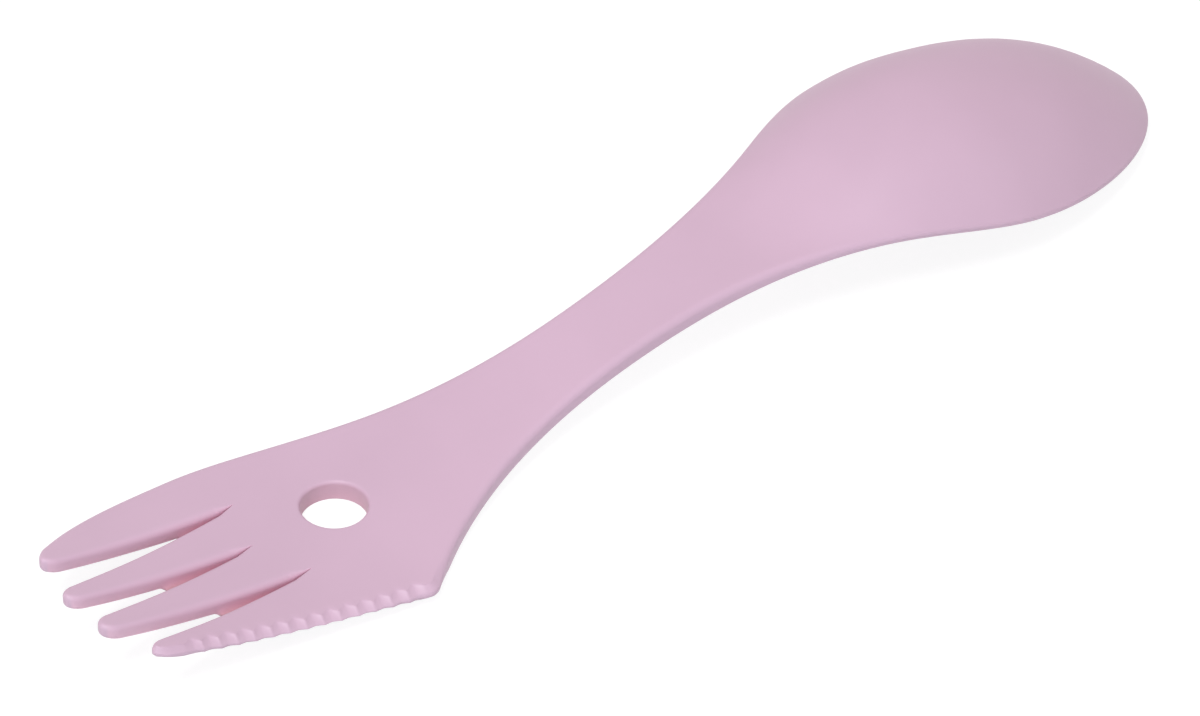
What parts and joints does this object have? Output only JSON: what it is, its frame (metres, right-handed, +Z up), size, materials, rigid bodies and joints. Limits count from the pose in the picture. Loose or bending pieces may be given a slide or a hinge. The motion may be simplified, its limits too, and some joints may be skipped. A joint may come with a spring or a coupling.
{
  "type": "spork",
  "caption": "Double-ended camping spork: a spoon bowl at one end, a tined fork with a serrated cutting side at the other, and a hang hole in the fork's palm.",
  "frame": {"origin": "on the hang hole's axis, at the underside of the fork's palm, level with the table", "axes": "+X along the spork to the spoon's tip, +Y to the fork's plain side, +Z up along the hang hole's axis; the spoon is turned over and the tines point along -X and rise"},
  "size_m": [0.1697, 0.0381, 0.0168],
  "materials": {
    "pink_plastic": "satin, fine spark-eroded grain"
  },
  "bodies": {
    "root": {"spoon_bowl": "pink_plastic", "handle": "pink_plastic", "fork_palm": "pink_plastic", "plain_outer_tine": "pink_plastic", "plain_inner_tine": "pink_plastic", "serrated_inner_tine": "pink_plastic", "serrated_outer_tine": "pink_plastic", "serrated_edge": "pink_plastic"}
  },
  "joints": []
}
